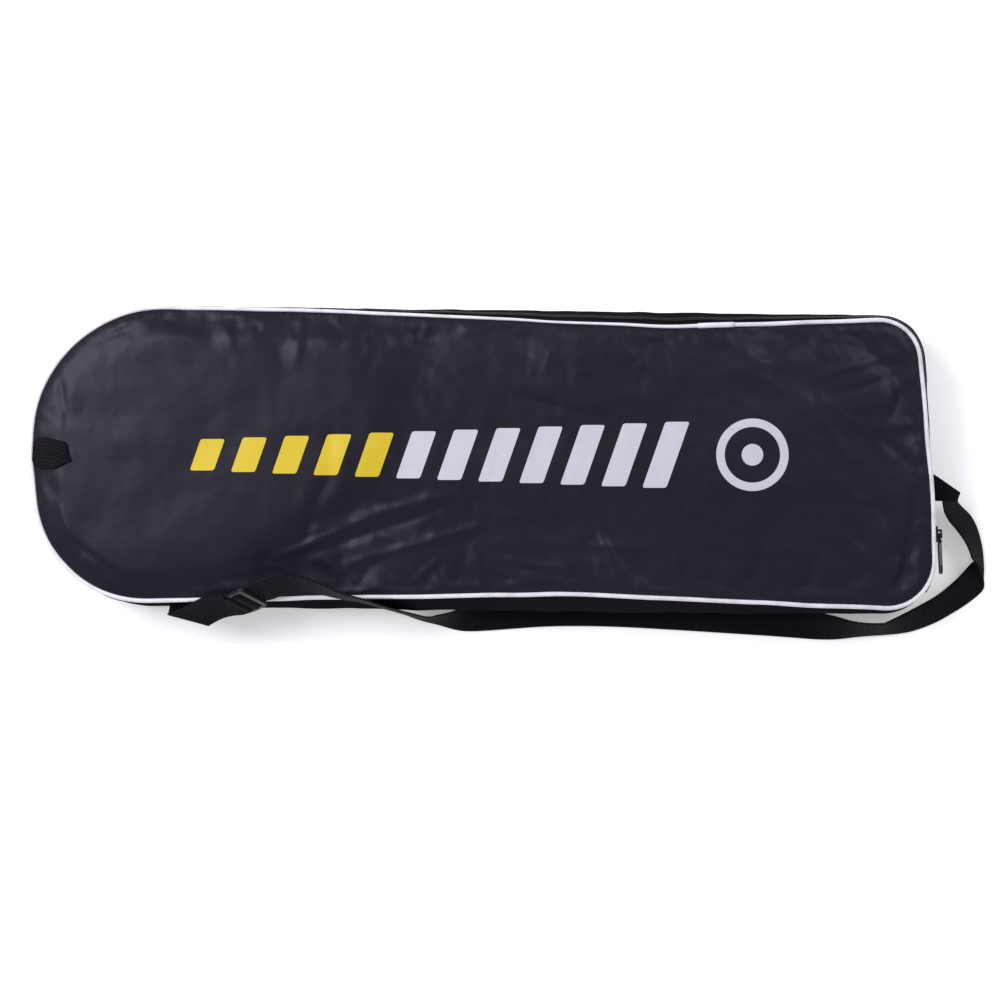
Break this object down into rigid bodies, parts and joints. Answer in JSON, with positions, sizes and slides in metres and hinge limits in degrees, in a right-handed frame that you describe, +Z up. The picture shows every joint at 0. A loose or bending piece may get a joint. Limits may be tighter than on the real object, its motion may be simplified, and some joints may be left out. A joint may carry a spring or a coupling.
{
  "type": "roundnet set",
  "caption": "Roundnet game packed in a long flat zipped carry bag with white piping and a shoulder strap: rim tubes, legs, folded net, balls and hand pump inside.",
  "frame": {"origin": "on the ground under the bag, midway between its ends and near the middle of its width", "axes": "+X along the bag towards its square end, +Y away from the strap side, +Z up out of the front panel"},
  "size_m": [0.8099, 0.2858, 0.0877],
  "materials": {
    "bag_fabric": "coated woven nylon, faint sheen",
    "zip_tape": "woven tape",
    "zip_coil": "nylon coil",
    "piping": "soft white vinyl",
    "print_yellow": "screen print",
    "print_silver": "screen print",
    "webbing": "ribbed webbing",
    "adjuster_plastic": "moulded",
    "zip_metal": "black enamel",
    "rim_plastic": "moulded, fine grain",
    "sleeve_plastic": "moulded",
    "leg_plastic": "moulded, fine grain",
    "foot_rubber": "soft rubber",
    "net_cord": "knotless netting, folded",
    "band_elastic": "woven elastic",
    "hook_plastic": "moulded",
    "ball_rubber": "textured rubber",
    "pump_body": "moulded",
    "pump_trim": "moulded",
    "seal_rubber": "moulded",
    "needle_steel": "bright"
  },
  "bodies": {
    "bag": {"back_panel": "bag_fabric", "gusset_fold_side": "bag_fabric", "gusset_zip_side": "bag_fabric", "front_edge_strip": "bag_fabric", "zip_tape_lower": "zip_tape", "zip_end_tabs": "zip_tape", "zip_coil_lower": "zip_coil", "front_piping_fixed": "piping", "shoulder_strap": "webbing", "strap_anchor": "webbing", "strap_adjuster": "adjuster_plastic", "rim_tube_1": "rim_plastic", "rim_tube_2": "rim_plastic", "rim_tube_3": "rim_plastic", "rim_tube_4": "rim_plastic", "rim_tube_5": "rim_plastic", "rim_sleeve_1": "sleeve_plastic", "rim_sleeve_2": "sleeve_plastic", "rim_sleeve_3": "sleeve_plastic", "rim_sleeve_4": "sleeve_plastic", "rim_sleeve_5": "sleeve_plastic", "leg_1": "leg_plastic", "leg_2": "leg_plastic", "leg_3": "leg_plastic", "leg_4": "leg_plastic", "leg_5": "leg_plastic", "leg_foot_1": "foot_rubber", "leg_foot_2": "foot_rubber", "leg_foot_3": "foot_rubber", "leg_foot_4": "foot_rubber", "leg_foot_5": "foot_rubber", "net": "net_cord", "net_band": "band_elastic", "net_hooks": "hook_plastic", "ball_1": "ball_rubber", "ball_2": "ball_rubber", "ball_3": "ball_rubber", "pump_barrel": "pump_body", "pump_cap": "pump_trim", "pump_needle": "needle_steel"},
    "front_flap": {"front_panel": "bag_fabric", "front_piping": "piping", "piping_sleeve": "piping", "zip_tape_upper": "zip_tape", "zip_coil_upper": "zip_coil", "print_yellow": "print_yellow", "print_silver": "print_silver"},
    "hang_tab": {"hang_tab": "webbing"},
    "zip_slider": {"zip_slider": "zip_metal"},
    "zip_pull": {"pull_link": "zip_metal", "pull_tab": "zip_metal"},
    "pump_plunger": {"pump_plunger": "pump_trim", "pump_piston": "seal_rubber"}
  },
  "joints": [
    {"name": "flap_fold", "type": "hinge", "parent": "bag", "child": "front_flap", "pos_m": [0, -0.096, 0.062], "axis": [1, 0, 0], "range_deg": [0, 98]},
    {"name": "hang_tab_fold", "type": "hinge", "parent": "front_flap", "child": "hang_tab", "pos_m": [-0.373, 0.0012, 0.0635], "axis": [0, -1, 0], "range_deg": [0, 180]},
    {"name": "zip_slide", "type": "slide", "parent": "bag", "child": "zip_slider", "axis": [-0.0449, 0.999, 0], "range_m": [0, 0.14]},
    {"name": "pull_swing", "type": "hinge", "parent": "zip_slider", "child": "zip_pull", "pos_m": [0.38122, -0.06568, 0.045], "axis": [0, 0, 1], "range_deg": [0, 160]},
    {"name": "plunger_slide", "type": "slide", "parent": "bag", "child": "pump_plunger", "axis": [1, 0, 0], "range_m": [0, 0.1]}
  ]
}
